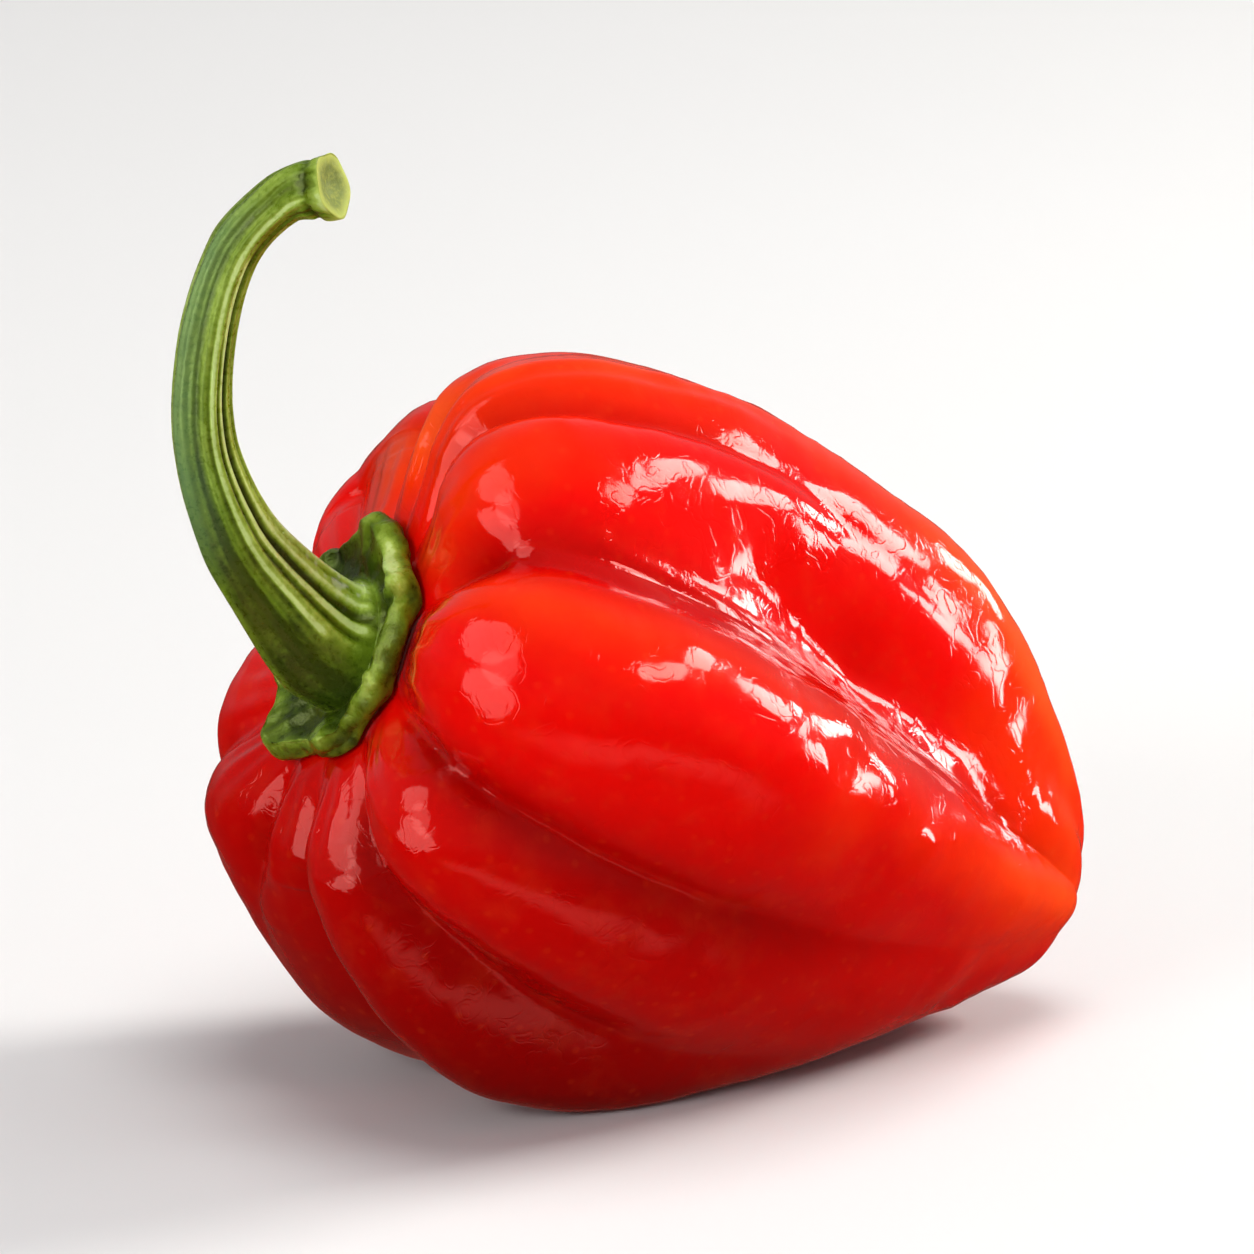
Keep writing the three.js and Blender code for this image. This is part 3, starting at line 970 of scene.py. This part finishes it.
def floor_material():
    material, nodes, links, shader = start_material("pale_floor", FLOOR_SURFACE)
    place = nodes.new("ShaderNodeTexCoord").outputs["Object"]
    cloud = add_noise(nodes, links, place, *FLOOR_CLOUD)
    links.new(add_mix(nodes, links, cloud, FLOOR_DULL, FLOOR_BRIGHT), shader.inputs["Base Color"])
    return material


# ---- the object ------------------------------------------------------------------------------

def dress(piece, material, node):
    piece.data.materials.append(material)
    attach(piece, "root")
    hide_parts(node)


dress(build_pod(), pod_material(), "pod")
dress(build_stem(), stem_material(), "calyx_stem")

# ---- floor, light and camera -----------------------------------------------------------------

CENTRE = Vector((-0.0014, 0, 0.0272))    # what the camera and the lights aim at
CAMERA_AZIMUTH, CAMERA_ELEVATION, CAMERA_DISTANCE = -25.0, 15.0, 0.70
VIEW_WIDTH = 0.073                       # that the picture shows at the centre
SENSOR = 36.0
FLOOR_SIZE = 8
FLOOR_DROP = 0.00004                     # keeps the floor just clear of the low corners

WHITE = (1.0, 1.0, 1.0)
KEY_COLOUR = (1.0, 0.98, 0.95)
FILL_COLOUR = (0.97, 0.98, 1.0)
FILL_PANE_COLOUR = (1.0, 0.95, 0.97)
# Lamps that light but aren't mirrored: name, azimuth, elevation, distance, width, height,
# radiance, colour
LAMPS = [
    ("key", 88, 28, 0.60, 0.19, 0.19, 36.0, KEY_COLOUR),
    ("fill", -60, 22, 0.60, 0.20, 0.24, 12.0, FILL_COLOUR),
    ("overhead", 20, 80, 0.90, 0.60, 0.60, 5.0, WHITE),
]
# Panes that are mirrored but give no other light, in the same order
PANES = [
    ("key_middle", 84, 19, 0.59, 0.18, 0.135, 23.0, KEY_COLOUR),
    ("key_high", 83, 36, 0.59, 0.28, 0.135, 22.0, KEY_COLOUR),
    ("key_low", 82, 1, 0.59, 0.090, 0.160, 24.0, KEY_COLOUR),
    ("key_side", 101, 9, 0.59, 0.130, 0.110, 19.0, KEY_COLOUR),
    ("key_left", 52, 37, 0.59, 0.220, 0.140, 21.0, KEY_COLOUR),
    ("fill_low", -68, 0, 0.59, 0.50, 0.38, 6.0, FILL_PANE_COLOUR),
    ("fill_middle", -58, 22, 0.59, 0.30, 0.40, 4.0, FILL_PANE_COLOUR),
    ("fill_high", -82, 44, 0.59, 0.50, 0.50, 5.0, FILL_PANE_COLOUR),
]
# The studio is bright above and dim below, where the floor hides it from the camera.
SKY = (0.30, 0.30, 0.31)
GROUND = (0.24, 0.05, 0.04)
HORIZON = (-0.15, 0.15)                  # heights between which one turns into the other
# A brighter band in what the lower sides mirror: its height, half width, fading and colour
BAND_HEIGHT, BAND_WIDTH, BAND_FADING = -0.56, 0.04, 0.12
BAND_SIDES = (-0.78, -0.55)              # how far towards -Y it is full, and gone
BAND = (2.4, 1.2, 1.1)


def direction(azimuth, elevation):
    a, e = np.radians([azimuth, elevation])
    return Vector((np.sin(a) * np.cos(e), -np.cos(a) * np.cos(e), np.sin(e)))


def aim(thing, azimuth, elevation, distance):
    back = direction(azimuth, elevation)
    thing.location = CENTRE + back * distance
    thing.rotation_euler = back.to_track_quat("Z", "Y").to_euler()


def add_light(name, azimuth, elevation, distance, width, height, radiance, colour):
    light = bpy.data.lights.new(name, "AREA")
    light.shape = "ELLIPSE"
    light.size, light.size_y = width, height
    area = np.pi / 4 * width * height
    light.energy = radiance * np.pi * area
    light.color = colour
    lamp = bpy.data.objects.new(name, light)
    bpy.context.scene.collection.objects.link(lamp)
    aim(lamp, azimuth, elevation, distance)
    return lamp


def add_floor():
    bpy.ops.mesh.primitive_plane_add(size=FLOOR_SIZE, location=(0, 0, -FLOOR_DROP))
    floor = bpy.context.object
    floor.name = "floor"
    floor.data.materials.append(floor_material())
    floor.visible_glossy = False


def add_world():
    world = bpy.data.worlds.new("studio")
    world.use_nodes = True
    nodes, links = world.node_tree.nodes, world.node_tree.links
    where = nodes.new("ShaderNodeSeparateXYZ")
    links.new(nodes.new("ShaderNodeTexCoord").outputs["Generated"], where.inputs["Vector"])
    above = add_range(nodes, links, where.outputs["Z"], *HORIZON)
    away = add_math(nodes, links, "SUBTRACT", where.outputs["Z"], BAND_HEIGHT)
    away = add_math(nodes, links, "ABSOLUTE", away)
    band = add_range(nodes, links, away, BAND_WIDTH, BAND_WIDTH + BAND_FADING, 1.0, 0.0)
    sides = add_range(nodes, links, where.outputs["Y"], *BAND_SIDES, 1.0, 0.0)
    band = add_math(nodes, links, "MULTIPLY", band, sides)
    below = add_mix(nodes, links, band, GROUND, BAND)
    links.new(add_mix(nodes, links, above, below, SKY), nodes["Background"].inputs["Color"])
    bpy.context.scene.world = world


def add_camera():
    lens = bpy.data.cameras.new("camera")
    lens.sensor_width = SENSOR
    lens.lens = SENSOR * CAMERA_DISTANCE / VIEW_WIDTH
    camera = bpy.data.objects.new("camera", lens)
    bpy.context.scene.collection.objects.link(camera)
    aim(camera, CAMERA_AZIMUTH, CAMERA_ELEVATION, CAMERA_DISTANCE)
    bpy.context.scene.camera = camera


add_floor()
for lamp in LAMPS:
    add_light(*lamp).visible_glossy = False
for pane in PANES:
    add_light(*pane).visible_diffuse = False
add_world()
add_camera()
bpy.context.scene.view_settings.view_transform = "Standard"

bpy.context.view_layer.update()
